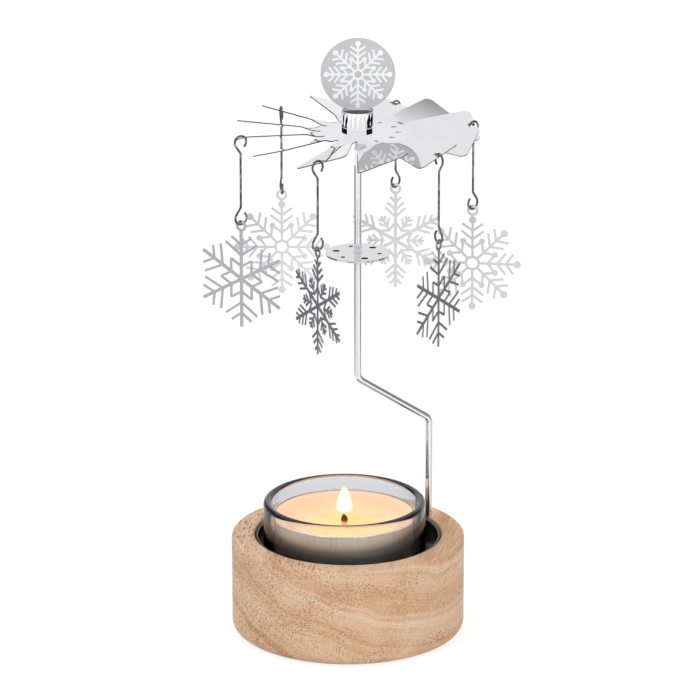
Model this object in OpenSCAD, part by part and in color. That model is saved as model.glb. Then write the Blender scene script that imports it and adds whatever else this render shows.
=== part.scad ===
// Candle carousel: a turned wooden base with a pressed metal dish, a glass cup with a tealight,
// a bent rod with a collector disc, and a bladed rotor on a needle that carries six hanging charms.
// Millimetres. The origin is the centre of the base's bottom face, +X right, -Y front, +Z up.

/* [Wooden base] */
// Height of the base
base_h = 26.6; // [25:0.1:34]
// Width of the wood's top round the recess
base_wall = 6.05; // [5:0.05:8]
// Radius of the rounded bottom edge
base_foot_r = 2.8; // [0.5:0.1:4]
// Radius of the rounded top edge
base_top_r = 1.0; // [0.3:0.1:2]
// Depth of the recess that takes the dish
recess_depth = 14.2; // [12:0.1:16]
// Gap all round between the dish and the recess
recess_gap = 0.45; // [0.2:0.05:0.5]
// Chamfer of the recess's mouth
recess_chamfer = 0.4; // [0.1:0.1:0.8]

/* [Dish] */
// Room all round between the glass cup and the dish's outside
dish_room = 2.9; // [2.5:0.1:4]
// Sheet thickness of the dish
dish_t = 0.5; // [0.3:0.1:0.6]
// Drop of the dish's rim below the wood's top
dish_drop = 0.5; // [0.3:0.1:3]
// Radius of the dish's rolled bottom corner
dish_corner_r = 1.2; // [0.8:0.1:2]

/* [Glass cup] */
// Height of the glass cup
glass_h = 23.05; // [20:0.05:26]
// Wall thickness of the glass
glass_wall = 2.2; // [1.2:0.1:2.6]
// Thickness of the glass floor
glass_floor = 3.0; // [2:0.1:4]
// Radius of the glass cup's outer bottom corner
glass_corner_r = 2.2; // [1:0.1:2.5]
// How far the cup stands left of the base's axis
glass_shift = 0.95; // [0:0.05:1]

/* [Tealight] */
// Diameter of the tealight cup's wall
tealight_d = 38; // [36:0.1:40]
// Gap all round between the tealight and the glass
tealight_gap = 0.5; // [0.4:0.05:1]
// Height of the tealight cup
tealight_h = 16.4; // [14:0.1:17]
// Foil thickness of the tealight cup
tealight_t = 0.25; // [0.2:0.05:0.4]
// Radius of the beaded rim
tealight_bead_r = 0.2; // [0.15:0.05:0.35]
// Radius of the tealight cup's bottom corner
tealight_corner_r = 1.4; // [0.8:0.1:2]
// Drop of the wax at the wall below the cup's rim
wax_drop = 0.45; // [0.4:0.05:2]
// Depth of the melted pool below the wax at the wall
pool_depth = 3.45; // [1:0.05:4]
// Diameter of the flat melted pool
pool_d = 25; // [16:0.5:30]
// Diameter of the braided wick
wick_d = 1.4; // [1:0.1:1.8]
// Height of the wick's straight part above the pool
wick_rise = 1.7; // [1:0.1:4]
// Radius of the wick's curled end
wick_curl_r = 1.0; // [0.8:0.1:1.4]
// Diameter of the wick's sustainer foot
tab_d = 12; // [8:0.5:16]
// Thickness of the sustainer foot
tab_t = 0.3; // [0.2:0.05:0.5]
// Wall thickness of the sustainer's neck
tab_neck_t = 0.35; // [0.2:0.05:0.5]
// Height of the sustainer's neck
tab_neck_h = 3; // [2:0.1:6]
// Angle through which the wick's end curls
wick_curl_angle = 70; // [40:5:90]

/* [Rod] */
// Diameter of the bent rod
rod_d = 1.94; // [1.6:0.02:2.2]
// Direction of the rod's foot seen from above
rod_angle = 32; // [0:1:90]
// Depth of the rod's foot in the wood, measured from the base's top
rod_depth = 20.6; // [15:0.1:22]
// Gap between the rod and the dish
rod_gap = 0.13; // [0.1:0.01:0.3]
// Height of the lower bend's corner above the glass cup's rim
rod_low_rise = 18.45; // [16:0.05:22]
// Lean of the slanted part from the upright
rod_lean = 56.3; // [50:0.1:65]
// Radius of both bends along the rod's centreline
rod_bend_r = 2.8; // [2:0.1:3.4]
// Height of the rod's top, where the needle begins, above the base's top
rod_rise = 106.6; // [100:0.1:110]
// How far the rod's upper part stands right of the base's axis
rod_shift = 2.6; // [0:0.1:4]
// Diameter of the needle's foot
needle_d = 1.74; // [1.2:0.02:1.8]
// Diameter of the needle's shank in the rod
needle_tang_d = 1.0; // [0.6:0.1:1.2]
// Length of the needle's shank in the rod
needle_tang_l = 4; // [2:0.1:6]
// Radius of the needle's round point
needle_point_r = 0.2; // [0.15:0.01:0.3]
// Drop of the collector disc's middle below the rod's top
collector_drop = 28.55; // [24:0.05:34]
// Diameter of the collector disc
collector_d = 17.2; // [15:0.1:18]
// Thickness of the collector disc
collector_t = 0.5; // [0.3:0.1:0.8]
// Distance of the collector's holes' middles from its edge
collector_hole_inset = 2.75; // [2:0.05:3.4]
// Direction of the collector's first hole
collector_angle = 48; // [0:1:59]
// Diameter of the collector's larger holes
collector_big_d = 1.7; // [1.2:0.1:2]
// Diameter of the collector's smaller holes
collector_small_d = 1.1; // [0.8:0.1:1.6]

/* [Rotor] */
// Height of the rotor sheet's top face above the rod's top
rotor_rise = 4.6; // [3.5:0.1:6]
// Distance from the axis to the middle of a blade's tip edge
rotor_reach = 31.5; // [31:0.1:31.6]
// Sheet thickness of the rotor
rotor_t = 0.3; // [0.2:0.05:0.35]
// Radius of the flat plate in the rotor's middle
rotor_plate_r = 10.2; // [9:0.1:11]
// Number of blades
blades = 12; // [12:12:12]
// Angle across one blade seen from the axis
blade_sweep_angle = 26.4; // [24:0.1:27]
// Pitch of the blades
blade_pitch = 18.5; // [16:0.5:19]
// Length over which a blade's root twists
blade_twist_l = 5; // [3:0.1:7]
// Radius of a blade's tip corners
blade_corner_r = 1.6; // [0.5:0.1:2]
// Direction of the first blade
blade_angle = 12; // [0:1:30]
// Distance of a hook's hole from the blade's tip edge
hook_hole_inset = 1.5; // [1.45:0.01:1.55]
// Diameter of a hook's hole
hook_hole_d = 1.6; // [1.5:0.05:1.65]

/* [Hub and finial] */
// Width of the hub cap's shoulder round its spigot
hub_shoulder = 1.85; // [1:0.05:2.5]
// Thickness of the hub cap between the bearing and the slot
hub_roof = 0.95; // [0.5:0.05:2]
// Wall thickness of the hub cap's spigot through the sheet
spigot_wall = 0.7; // [0.4:0.05:1]
// Diameter of the bearing cup in the hub
bearing_d = 3.6; // [3.2:0.1:4]
// Height of the bearing cup above the sheet's underside
bearing_h = 4.4; // [4:0.1:4.6]
// Width of the bearing's lip round the mouth of its cone
bearing_lip = 0.35; // [0.2:0.05:0.5]
// Thickness of the bearing above its cone
bearing_roof = 0.5; // [0.3:0.1:1]
// Diameter of the finial disc
finial_d = 19.4; // [18:0.1:21]
// Thickness of the finial disc
finial_t = 0.5; // [0.3:0.1:0.8]
// How far the finial disc's edge dips into the slot
finial_sink = 0.1; // [0.05:0.05:0.6]
// Width of the finial's tab in the hub's slot
finial_tab_w = 5; // [4:0.1:6]
// Depth of the slot across the hub cap
slot_depth = 0.8; // [0.4:0.1:1]

/* [Hooks] */
// Wire diameter of the hooks
wire_d = 0.6; // [0.5:0.02:0.64]
// Centreline radius of the hooks' loops
loop_r = 1.7; // [1.66:0.01:1.74]
// Distance between the centres of a hook's two loops
hook_l = 20.5; // [16:0.1:24]
// Distance from a loop's centre to the shank's bend
hook_neck = 2.95; // [2.7:0.05:3.4]
// Centreline radius of the bend between a hook's neck and shank
hook_bend_r = 0.7; // [0.5:0.1:1]
// Angle below the horizontal at which a loop's open end stops
loop_end_angle = 50; // [40:1:60]
// Clearance between a hook and the sheet it hangs on
hang_gap = 0.06; // [0.05:0.01:0.1]

/* [Charms] */
// Distance from a charm's middle to its tips
charm_r = 13.1; // [12:0.1:13.6]
// Sheet thickness of the charms
charm_t = 0.25; // [0.2:0.05:0.5]
// Outer diameter of a charm's ring
ring_d = 3.1; // [2.9:0.1:3.4]
// Inner diameter of a charm's ring
ring_hole_d = 1.6; // [1.55:0.05:1.7]
// How far a charm's top arm runs into its ring
ring_sink = 0.15; // [0.1:0.05:0.3]
// Gap between a charm's ring and the wire that carries it
ring_gap = 0.1; // [0.08:0.01:0.14]
// Width of a charm's arms
arm_w = 0.9; // [0.6:0.05:1.1]
// Width of a charm's branches
branch_w = 0.65; // [0.5:0.05:0.8]

/* [Hidden] */
$fn = 96;

// Overrun of every cut past the face that it opens
over = dish_t / 2;

// The glass fits round the tealight, the dish round the glass, and the base round the dish
glass_d = tealight_d + 2 * (tealight_gap + glass_wall);
dish_d = glass_d + 2 * dish_room;
recess_d = dish_d + 2 * recess_gap;
base_d = recess_d + 2 * base_wall;

// The dish stands on the recess's floor, the glass on the dish, the tealight in the glass
recess_floor = base_h - recess_depth;
dish_rim_z = base_h - dish_drop;
dish_floor_z = recess_floor + dish_t;
glass_floor_z = dish_floor_z + glass_floor;
glass_x = -glass_shift;
wax_z = glass_floor_z + tealight_t;
wax_h = tealight_h - wax_drop;
pool_z = glass_floor_z + wax_h - pool_depth;
tab_z = wax_z + tab_t;
tab_neck_d = wick_d + 2 * tab_neck_t;

// The rod's foot stands outside the dish, and its corners lie in one upright plane
rod_foot_r = (dish_d + rod_d) / 2 + rod_gap;
rod_foot = [rod_foot_r * cos(rod_angle), rod_foot_r * sin(rod_angle)];
rod_run = norm(rod_foot - [rod_shift, 0]);
rod_heading = atan2(rod_foot[1], rod_foot[0] - rod_shift);
rod_low_z = dish_floor_z + glass_h + rod_low_rise;
rod_high_z = rod_low_z + rod_run / tan(rod_lean);
rod_tangent = rod_bend_r * tan(rod_lean / 2);
rod_slant_l = rod_run / sin(rod_lean) - 2 * rod_tangent;
rod_foot_z = base_h - rod_depth;
rod_top_z = base_h + rod_rise;
collector_z = rod_top_z - collector_drop;
collector_hole_r = collector_d / 2 - collector_hole_inset;

// A bend is a little wider than its wire, and the straight lengths run a little way into it
bend_swell_share = 1.03;
bend_sink_share = 0.08;

// The needle's point meets the bearing's cone at its apex
rotor_z = rod_top_z + rotor_rise;
sheet_z = rotor_z - rotor_t;
bearing_cone_d = bearing_d - 2 * bearing_lip;
bearing_cone_h = bearing_h - bearing_roof;
bearing_apex_z = sheet_z + bearing_cone_h;
bearing_cone_angle = atan2(bearing_cone_d / 2, bearing_cone_h);
needle_ball_z = bearing_apex_z - needle_point_r / sin(bearing_cone_angle) - hang_gap;

// A blade starts inside the plate, and its root's twist begins at the plate's edge
blade_inset = rotor_plate_r / 8;
twist_steps = 6;
corner_steps = 6;

// The hub cap takes the bearing from below and the finial from above
spigot_d = bearing_d + 2 * spigot_wall;
hub_d = spigot_d + 2 * hub_shoulder;
hub_h = bearing_h - rotor_t + hub_roof + slot_depth;
finial_rise = finial_d / 2 - finial_sink;
hub_top_z = rotor_z + hub_h;
finial_z = hub_top_z + finial_rise;

// A hook's upper loop hangs on the strip of sheet between its hole and the blade's tip edge
hook_hole_r = rotor_reach - hook_hole_inset;
strip_w = hook_hole_inset - hook_hole_d / 2;
strip_rise = sqrt(pow(loop_r - wire_d / 2, 2) - pow(strip_w, 2)) - hang_gap;
loop_side = sqrt(pow(loop_r, 2) - pow(strip_rise - rotor_t / 2, 2));
neck_angle = acos(loop_r / hook_neck);
neck_l = sqrt(pow(hook_neck, 2) - pow(loop_r, 2));
shank_half = hook_l / 2 - hook_neck;

// A charm's ring hangs on its hook's lower loop
ring_drop = (ring_hole_d - wire_d) / 2 - ring_gap;
charm_drop = charm_r + ring_d / 2 - ring_sink;

// Direction from the first blade of the blade that carries each hook, the hook's turn from that
// blade's middle line, the direction each charm faces, and each charm's pattern
hook_blade_angles = [180, 120, 240, 60, 300, 0];
hook_turn_angles = [20, -32, -32, -22, -10, 32];
charm_facing_angles = [243, 270, 210, 266, 330, 262];
charm_patterns = ["diamond", "dotted", "fern", "fern", "diamond", "dotted"];

blade_step = 360 / blades;
function blade_heading(i) = blade_angle + hook_blade_angles[i];
function heading(i) = blade_heading(i) + hook_turn_angles[i];
function polar(r, a) = [r * cos(a), r * sin(a)];
function hook_xy(i) = [rod_shift, 0] + polar(hook_hole_r, blade_heading(i)) + polar(loop_side, heading(i));
function hook_z(i) = rotor_z - strip_rise + loop_side * sin(hook_turn_angles[i]) * tan(blade_pitch);
function wire_z(i) = hook_z(i) - hook_l - loop_r;
function ring_z(i) = wire_z(i) - ring_drop;

// Branch places along an arm, as shares of the charm's radius: root, tip out, tip aside
diamond_v_shares = [[0.49, 0.745, 0.355], [0.705, 0.87, 0.225]];
diamond_side_share = 0.262;
fern_v_shares = [[0.5, 0.7, 0.21], [0.65, 0.81, 0.17], [0.81, 0.93, 0.115]];
fern_star_shares = [0.4, 0.245];
fern_tuft_tip_share = 0.59;
fern_tuft_shares = [[0.345, 0.475, 0.12], [0.47, 0.555, 0.082]];
dotted_v_shares = [[0.5, 0.675, 0.225], [0.68, 0.83, 0.21]];
dotted_ring_share = 0.13;
dotted_arm_share = 0.91;
dotted_short_share = 0.5;
dotted_join_share = 0.31;
dotted_dot_shares = [0.075, 0.06];

// Flat shapes

// Half section of a solid of revolution with a rounded bottom corner
module round_foot(r, h, corner) {
    square([r - corner, h]);
    translate([0, corner]) square([r, h - corner]);
    translate([r - corner, corner]) circle(corner);
}

// Straight stroke of a pattern from p to q
module stroke(p, q, w) {
    way = q - p;
    translate(p) rotate(atan2(way[1], way[0])) translate([0, -w / 2]) square([norm(way), w]);
}

// Two branches that leave an arm in a V: root and tip along the arm, and the tip's distance aside
module branches(shares, r, w) {
    for (share = shares, side = [-1, 1])
        stroke([share[0] * r, 0], [share[1] * r, side * share[2] * r], w);
}

// Six plain arms with a ring of six diamonds about the middle
module diamond_pattern(r) {
    side = diamond_side_share * r;
    for (k = [0 : 5]) rotate(k * 60) {
        stroke([0, 0], [r, 0], arm_w);
        branches(diamond_v_shares, r, branch_w);
        for (a = [0, 60])
            stroke(polar(side, a), polar(2 * side * cos(30) + branch_w / 4, 30), branch_w);
    }
}

// Six arms, a star about the middle and a small fern between the arms
module fern_pattern(r) {
    point = fern_star_shares[0] * r;
    inner = fern_star_shares[1] * r;
    for (k = [0 : 5]) rotate(k * 60) {
        stroke([0, 0], [r, 0], arm_w);
        branches(fern_v_shares, r, branch_w);
        for (a = [-30, 30]) stroke([point, 0], polar(inner, a), branch_w);
        rotate(30) {
            stroke([inner - branch_w / 2, 0], [fern_tuft_tip_share * r, 0], branch_w);
            branches(fern_tuft_shares, r, branch_w);
        }
    }
}

// Eight arms with end dots, an open ring in the middle and eight short dotted points between
module dotted_pattern(r) {
    ring = dotted_ring_share * r;
    difference() {
        circle(ring + branch_w / 2);
        circle(ring - branch_w / 2);
    }
    for (k = [0 : 7]) rotate(k * 45) {
        stroke([ring, 0], [dotted_arm_share * r, 0], branch_w);
        branches(dotted_v_shares, r, branch_w);
        translate([dotted_arm_share * r, 0]) circle(dotted_dot_shares[0] * r);
        for (a = [0, 45])
            stroke(polar(dotted_join_share * r, a), polar(dotted_short_share * r, 22.5), branch_w);
        rotate(22.5) translate([dotted_short_share * r, 0]) circle(dotted_dot_shares[1] * r);
    }
}

// Round pieces

module wood_base() color("BurlyWood") {
    r = base_d / 2;
    mouth = recess_d / 2;
    difference() {
        rotate_extrude() difference() {
            union() {
                round_foot(r, base_h - base_top_r, base_foot_r);
                square([r - base_top_r, base_h]);
                translate([r - base_top_r, base_h - base_top_r]) circle(base_top_r);
            }
            translate([0, recess_floor]) square([mouth, base_h]);
            polygon([
                [0, base_h - recess_chamfer], [mouth, base_h - recess_chamfer],
                [mouth + recess_chamfer, base_h], [mouth + recess_chamfer, base_h + over],
                [0, base_h + over]
            ]);
        }
        translate([rod_foot[0], rod_foot[1], rod_foot_z]) cylinder(d = rod_d, h = rod_depth + over);
    }
}

module dish() color("DimGray") {
    r = dish_d / 2;
    h = dish_rim_z - recess_floor;
    translate([0, 0, recess_floor]) rotate_extrude() difference() {
        round_foot(r, h, dish_corner_r);
        translate([0, dish_t]) round_foot(r - dish_t, h, dish_corner_r - dish_t);
    }
}

module glass_cup() color("LightCyan") {
    r = glass_d / 2;
    lip = glass_wall / 2;
    translate([glass_x, 0, dish_floor_z]) rotate_extrude() {
        difference() {
            round_foot(r, glass_h - lip, glass_corner_r);
            translate([0, glass_floor]) round_foot(r - glass_wall, glass_h, glass_corner_r / 2);
        }
        translate([r - lip, glass_h - lip]) circle(lip);
    }
}

module tealight_cup() color("Silver") {
    r = tealight_d / 2;
    translate([glass_x, 0, glass_floor_z]) rotate_extrude() {
        difference() {
            round_foot(r, tealight_h - tealight_bead_r, tealight_corner_r);
            translate([0, tealight_t]) round_foot(r - tealight_t, tealight_h, tealight_corner_r - tealight_t);
        }
        translate([r - tealight_t / 2, tealight_h - tealight_bead_r]) circle(tealight_bead_r);
    }
}

// The sustainer's foot and neck without the wick's bore
module sustainer_body() {
    cylinder(d = tab_d, h = tab_t);
    cylinder(d = tab_neck_d, h = tab_t + tab_neck_h);
}

module wax() color("Wheat") {
    r = tealight_d / 2 - tealight_t;
    corner = tealight_corner_r - tealight_t;
    depth = wax_h - tealight_t;
    pool = pool_z - wax_z;
    translate([glass_x, 0, wax_z]) difference() {
        rotate_extrude() intersection() {
            round_foot(r, depth, corner);
            polygon([[0, 0], [r, 0], [r, depth], [pool_d / 2, pool], [0, pool]]);
        }
        sustainer_body();
        cylinder(d = wick_d, h = depth);
    }
}

module wick_sustainer() color("Gray") {
    translate([glass_x, 0, wax_z]) difference() {
        sustainer_body();
        translate([0, 0, tab_t]) cylinder(d = wick_d, h = tab_neck_h + over);
    }
}

module wick() color("SaddleBrown") {
    stem = pool_z + wick_rise - tab_z;
    translate([glass_x, 0, tab_z]) {
        cylinder(d = wick_d, h = stem);
        translate([-wick_curl_r, 0, stem]) rotate([90, 0, 0])
            rotate_extrude(angle = wick_curl_angle) translate([wick_curl_r, 0]) circle(d = wick_d);
    }
}

// Rod and what it carries

// Bend of a round wire that comes along +Z and turns towards +X, swollen by the bending;
// what follows starts at its end
module bend(d, r, angle) {
    translate([r, 0, 0]) {
        rotate([-90, 0, 0]) rotate([0, 0, 180]) rotate_extrude(angle = angle)
            translate([r, 0]) circle(d = d * bend_swell_share);
        rotate([0, angle, 0]) translate([-r, 0, 0]) children();
    }
}

// Straight length of a round wire along +Z, sunk a little into its bends; what follows starts at its end
module straight(d, l, before = bend_sink_share, after = bend_sink_share) {
    translate([0, 0, -before * d]) cylinder(d = d, h = l + (before + after) * d);
    translate([0, 0, l]) children();
}

module bent_rod() color("LightSlateGray") {
    low = rod_low_z - rod_tangent - rod_foot_z;
    high = rod_top_z - rod_high_z - rod_tangent;
    difference() {
        translate([rod_foot[0], rod_foot[1], rod_foot_z]) rotate([0, 0, rod_heading + 180])
            straight(rod_d, low, before = 0) bend(rod_d, rod_bend_r, rod_lean) straight(rod_d, rod_slant_l)
            mirror([1, 0, 0]) bend(rod_d, rod_bend_r, rod_lean) straight(rod_d, high, after = 0);
        translate([rod_shift, 0, rod_top_z - needle_tang_l])
            cylinder(d = needle_tang_d, h = needle_tang_l + over);
    }
}

module needle() color("Gainsboro") {
    translate([rod_shift, 0, rod_top_z]) {
        translate([0, 0, -needle_tang_l]) cylinder(d = needle_tang_d, h = needle_tang_l);
        cylinder(d1 = needle_d, d2 = 2 * needle_point_r, h = needle_ball_z - rod_top_z);
        translate([0, 0, needle_ball_z - rod_top_z]) sphere(needle_point_r);
    }
}

module collector_disc() color("Silver") {
    translate([rod_shift, 0, collector_z - collector_t / 2]) difference() {
        cylinder(d = collector_d, h = collector_t);
        translate([0, 0, -over]) {
            cylinder(d = rod_d, h = collector_t + 2 * over);
            for (k = [0 : 5]) rotate([0, 0, collector_angle + k * 60]) translate([collector_hole_r, 0, 0])
                cylinder(d = k % 2 == 0 ? collector_big_d : collector_small_d, h = collector_t + 2 * over);
        }
    }
}

// Rotor

// Turn of a blade about its middle line at share s of its root's twist
function twist(s) = blade_pitch * (1 - cos(180 * min(max(s, 0), 1))) / 2;

// Six corners of a blade's section at distance x from the axis, with its half width, turned by angle p
function section(x, half, p) = [
    for (side = [[-1, 1], [0, 1], [1, 1], [1, -1], [0, -1], [-1, -1]])
        let (y = side[0] * half, z = side[1] * rotor_t / 2)
        [x, y * cos(p) - z * sin(p), y * sin(p) + z * cos(p)]
];

// A blade from inside the flat plate to its tip, with a twisted root and round tip corners
module blade() {
    a = blade_sweep_angle / 2;
    x = rotor_reach - blade_corner_r;
    y = (x * sin(a) - blade_corner_r) / cos(a);
    places = [
        [rotor_plate_r - blade_inset, 0],
        for (k = [0 : twist_steps]) [rotor_plate_r + k / twist_steps * blade_twist_l, twist(k / twist_steps)],
        for (k = [0 : corner_steps]) [x + blade_corner_r * sin(-a + (90 + a) * k / corner_steps), blade_pitch]
    ];
    points = [
        for (p = places) let (out = max(p[0] - x, -blade_corner_r * sin(a)))
            each section(p[0], p[0] < x - blade_corner_r * sin(a) ? p[0] * tan(a)
                : y + sqrt(max(pow(blade_corner_r, 2) - pow(out, 2), 0)), p[1])
    ];
    last = 6 * (len(places) - 1);
    faces = [
        [5, 4, 1, 0], [4, 3, 2, 1],
        [last, last + 1, last + 4, last + 5], [last + 1, last + 2, last + 3, last + 4],
        for (k = [0 : len(places) - 2], j = [0 : 5])
            let (a = 6 * k + j, b = 6 * k + (j + 1) % 6) each [[b, a + 6, a], [b + 6, a + 6, b]]
    ];
    polyhedron(points, faces);
}

module rotor_blades() color("Gainsboro") {
    through = rotor_t + 2 * over;
    translate([rod_shift, 0, sheet_z + rotor_t / 2]) rotate([0, 0, blade_angle]) difference() {
        union() {
            cylinder(r = rotor_plate_r, h = rotor_t, center = true);
            for (k = [0 : blades - 1]) rotate([0, 0, k * blade_step]) blade();
        }
        cylinder(d = spigot_d, h = through, center = true);
        for (a = hook_blade_angles) rotate([0, 0, a]) rotate([blade_pitch, 0, 0])
            translate([hook_hole_r, 0, 0]) cylinder(d = hook_hole_d, h = through, center = true);
    }
}

module hub_cap() color("LightSteelBlue") {
    translate([rod_shift, 0, rotor_z]) difference() {
        union() {
            cylinder(d = hub_d, h = hub_h);
            translate([0, 0, -rotor_t]) cylinder(d = spigot_d, h = rotor_t);
        }
        translate([0, 0, -rotor_t - over]) cylinder(d = bearing_d, h = bearing_h + over);
        translate([-hub_d / 2 - over, -finial_t / 2, hub_h - slot_depth])
            cube([hub_d + 2 * over, finial_t, slot_depth + over]);
    }
}

module bearing_cup() color("Goldenrod") {
    translate([rod_shift, 0, sheet_z]) difference() {
        cylinder(d = bearing_d, h = bearing_h);
        cylinder(d1 = bearing_cone_d, d2 = 0, h = bearing_cone_h);
    }
}

module finial_disc() color("Silver") {
    translate([rod_shift, finial_t / 2, finial_z]) rotate([90, 0, 0]) linear_extrude(height = finial_t) {
        circle(d = finial_d);
        translate([-finial_tab_w / 2, -finial_rise - slot_depth])
            square([finial_tab_w, slot_depth + finial_d / 4]);
    }
}

// Hooks and charms

// Upper half of a hook: half of the shank, its neck and an open loop, from the shank's middle up
module hook_half() {
    lean = 90 - neck_angle;
    tangent = hook_bend_r * tan(lean / 2);
    straight(wire_d, shank_half - tangent, before = 0) bend(wire_d, hook_bend_r, lean)
        straight(wire_d, neck_l - tangent)
        mirror([1, 0, 0]) bend(wire_d, loop_r, 180 + loop_end_angle + lean);
}

module hook(i) color("SlateGray") {
    place = hook_xy(i);
    translate([place[0], place[1], hook_z(i) - hook_l / 2]) rotate([0, 0, heading(i)]) {
        hook_half();
        mirror([0, 0, 1]) hook_half();
    }
}

module charm(i) color("DarkGray") {
    place = hook_xy(i);
    translate([place[0], place[1], ring_z(i)]) rotate([90, 0, charm_facing_angles[i] - 270])
        linear_extrude(height = charm_t, center = true) difference() {
            union() {
                circle(d = ring_d);
                translate([0, -charm_drop]) rotate(90) {
                    stroke([charm_r / 2, 0], [charm_r, 0], branch_w);
                    if (charm_patterns[i] == "diamond") diamond_pattern(charm_r);
                    if (charm_patterns[i] == "fern") fern_pattern(charm_r);
                    if (charm_patterns[i] == "dotted") dotted_pattern(charm_r);
                }
            }
            circle(d = ring_hole_d);
        }
}

wood_base();
dish();
glass_cup();
tealight_cup();
wax();
wick_sustainer();
wick();
bent_rod();
needle();
collector_disc();
rotor_blades();
hub_cap();
bearing_cup();
finial_disc();
for (i = [0 : 5]) {
    hook(i);
    charm(i);
}
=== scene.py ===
"""Candle carousel: the looks of the wooden base, the glass with its lit tealight, the bent rod, and the
bladed rotor with its hanging snowflakes. The named lengths are millimetres and the meshes are metres.
The origin is the centre of the base's bottom face, +X right, -Y front, +Z up."""
import math

import bmesh
import bpy
from mathutils import Matrix, Vector


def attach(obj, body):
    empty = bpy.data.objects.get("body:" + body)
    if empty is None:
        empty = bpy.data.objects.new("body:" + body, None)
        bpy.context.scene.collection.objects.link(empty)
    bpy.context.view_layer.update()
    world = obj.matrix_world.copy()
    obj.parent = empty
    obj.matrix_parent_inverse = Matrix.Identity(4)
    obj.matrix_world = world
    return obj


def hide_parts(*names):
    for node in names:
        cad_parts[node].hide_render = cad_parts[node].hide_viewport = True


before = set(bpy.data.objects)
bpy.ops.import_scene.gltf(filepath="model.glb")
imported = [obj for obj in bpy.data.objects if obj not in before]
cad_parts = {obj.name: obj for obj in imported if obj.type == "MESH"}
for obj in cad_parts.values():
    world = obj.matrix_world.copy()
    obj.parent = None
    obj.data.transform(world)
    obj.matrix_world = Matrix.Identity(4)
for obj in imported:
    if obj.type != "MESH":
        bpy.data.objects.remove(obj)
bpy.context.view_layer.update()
MM = 0.001
# Steps round a turned piece, and how far a cutter reaches past what it cuts
ROUND = 192
OVER = 1.0

# Base and dish
BASE_R = 31.1
BASE_H = 26.6
FOOT_R = 2.8
TOP_R = 1.0
RECESS_R = 25.05
RECESS_FLOOR = 12.4
RECESS_LIP_R = 0.4
DISH_R = 24.6
DISH_T = 0.5
DISH_RIM_Z = 26.1
DISH_CORNER_R = 1.2

# Glass and tealight, which stand a little left of the base's axis
CUP_X = -0.95
GLASS_R = 21.7
GLASS_Z = 12.9
GLASS_H = 23.05
GLASS_WALL = 2.2
GLASS_FLOOR = 3.0
GLASS_CORNER_R = 2.2
# The glass's hollow underside, as shares of its radius and heights
GLASS_HOLLOW = ((0.0, 0.5), (0.5, 0.3), (0.8, 0.0))
FOIL_R = 19.0
FOIL_Z = 15.9
FOIL_GAP = 0.03
FOIL_H = 16.4
FOIL_T = 0.25
FOIL_BEAD_R = 0.2
FOIL_CORNER_R = 1.4
WAX_TOP_Z = 31.85
WAX_GAP = 0.03
POOL_Z = 28.4
POOL_R = 12.5
WICK_R = 0.7
WICK_RISE = 1.7
WICK_CURL_R = 1.0
WICK_CURL = math.radians(70)
WICK_FOOT_Z = 16.45
CHAR_LENGTH = 0.9
CHAR_SWELL = 0.22
# Wax that creeps up the wick: how far out from it and how high over the pool
WAX_CREEP = ((0.9, 0.0), (0.4, 0.12), (0.1, 0.4))
WAX_CREEP_TOP = 0.42
FLAME_LOW_Z = 32.7
FLAME_TIP_Z = 39.2
FLAME_R = 2.0
# Share of the flame's height that its round foot takes
FLAME_FOOT = 0.14
# The flame's nested shells: how far each lies outside its outline, and past its tip
FLAME_SHELLS = ((-0.2, -0.3), (0.0, 0.1), (0.25, 0.5), (0.6, 1.2))

# Rod, needle and collector disc
ROD_R = 0.97
ROD_FOOT = (21.7948, 13.6189, 6.0)
ROD_LOW_Z = 54.4
ROD_HIGH_Z = 70.0962
ROD_TOP_Z = 133.2
ROD_X = 2.6
ROD_BEND_R = 2.8
NEEDLE_R = 0.87
NEEDLE_EDGE = 0.1
NEEDLE_POINT_R = 0.2
NEEDLE_BALL_Z = 140.766
COLLECTOR_Z = 104.65
COLLECTOR_R = 8.6
COLLECTOR_T = 0.5
COLLECTOR_EDGE = 0.08
COLLECTOR_GAP = 0.02
COLLECTOR_HOLES_R = 5.85
COLLECTOR_HOLE_RADII = (0.85, 0.55)
# Direction of the first hole in degrees
COLLECTOR_TURN = 48

# Rotor, hub and finial
ROTOR_Z = 137.8
SHEET_T = 0.3
PLATE_R = 10.2
PLATE_HOLE_R = 2.5
BLADE_REACH = 31.49
BLADE_HALF_SPAN = math.radians(13.2)
BLADE_PITCH = math.radians(18.5)
BLADE_TWIST_L = 5.0
BLADE_CORNER_R = 1.6
BLADE_TURN = math.radians(12)
# Half a blade's width at a distance of 1 from the rotor's middle
BLADE_WIDENING = math.tan(BLADE_HALF_SPAN)
BLADES = 12
# A blade's root mesh: shares of its half width from edge to edge, and how far it runs past the twist
ROOT_COLUMNS = [c / 6 - 1 for c in range(13)]
ROOT_PAST = 0.5
RELIEF_R = 0.45
ROLLED_EDGE = 0.11
HOOK_HOLE_R = 0.8
HOOK_HOLE_X = 30.0
HUB_R = 4.35
HUB_H = 5.85
HUB_EDGE_R = 0.25
HUB_FOOT_EDGE = 0.1
HUB_GROOVE_Z = 1.7
HUB_GROOVE_R = 0.14
SLOT_DEPTH = 0.8
SLOT_GAP = 0.02
FINIAL_R = 9.699
FINIAL_T = 0.5
FINIAL_EDGE = 0.06
FINIAL_RISE = 9.6
FINIAL_TAB_W = 5.0

# The finial's etched snowflake. It stands 0.03 mm proud of each face, and reaches are from its middle
ETCH_RISE = 0.03
FLAKE_ARMS = 8
FLAKE_ARM = (1.2, 8.3)
FLAKE_ARM_W = 0.56
FLAKE_TIP = 8.25
FLAKE_TIP_R = 0.72
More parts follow.
